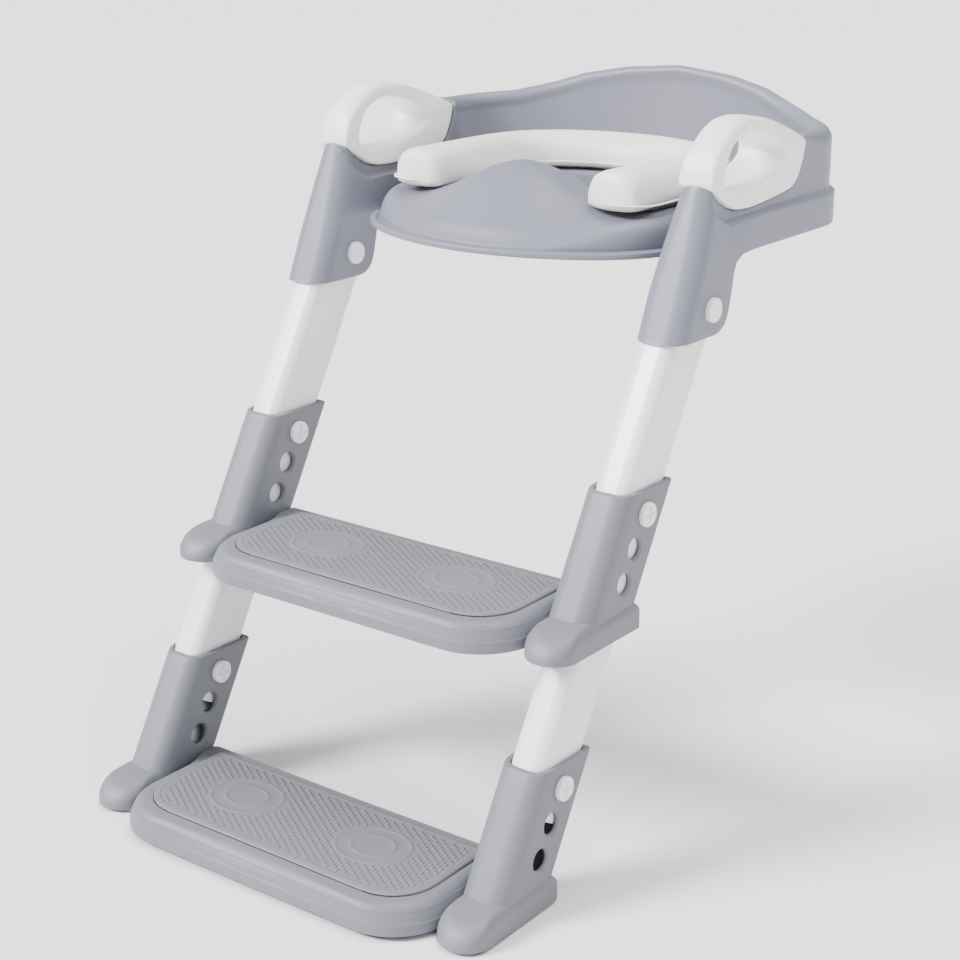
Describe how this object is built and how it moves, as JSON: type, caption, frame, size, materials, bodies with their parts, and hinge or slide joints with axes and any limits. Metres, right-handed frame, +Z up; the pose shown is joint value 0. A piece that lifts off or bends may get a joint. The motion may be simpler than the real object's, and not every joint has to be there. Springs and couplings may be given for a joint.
{
  "type": "toilet training seat with ladder",
  "caption": "Padded child's toilet seat with armrests and grips, hinged to a folding step ladder with height-adjustable treads.",
  "frame": {"origin": "on the floor, under the middle of the whole object's box, with the ladder open", "axes": "+X to the side, across the steps, towards the seated child's left hand; +Y from the ladder towards the seat's back; +Z up"},
  "size_m": [0.3836, 0.5656, 0.5299],
  "materials": {
    "shell": "fine satin grain, lavender grey",
    "step": "fine satin grain, grey",
    "mat": "soft matt, raised grip pattern",
    "white": "smooth white",
    "cushion": "satin coated cover over foam",
    "plate": "matt",
    "rubber": "matt"
  },
  "bodies": {
    "seat": {"seat_frame": "shell", "seat_ring": "shell", "rim_pad_front_left": "rubber", "rim_pad_front_right": "rubber", "rim_pad_rear_left": "rubber", "rim_pad_rear_right": "rubber", "grip_left": "white", "grip_right": "white", "hinge_pin_left": "white", "hinge_cap_left": "white", "hinge_pin_right": "white", "hinge_cap_right": "white"},
    "ladder": {"leg_left": "white", "leg_right": "white", "middle_step": "step", "middle_step_mat": "mat", "middle_bolt_left": "white", "middle_nut_left": "white", "middle_bolt_right": "white", "middle_nut_right": "white", "bottom_step": "step", "bottom_step_mat": "mat", "bottom_bolt_left": "white", "bottom_nut_left": "white", "bottom_bolt_right": "white", "bottom_nut_right": "white", "foot_pad_left": "rubber", "foot_pad_right": "rubber"},
    "cushion": {"cushion": "cushion", "cushion_plate": "plate"}
  },
  "joints": [
    {"name": "ladder_fold", "type": "hinge", "parent": "seat", "child": "ladder", "pos_m": [0, 0.0188, 0.39287], "axis": [1, 0, 0], "range_deg": [0, 118]},
    {"name": "cushion_lift", "type": "slide", "parent": "seat", "child": "cushion", "axis": [0, 0, 1], "range_m": [0, 0.08]}
  ]
}
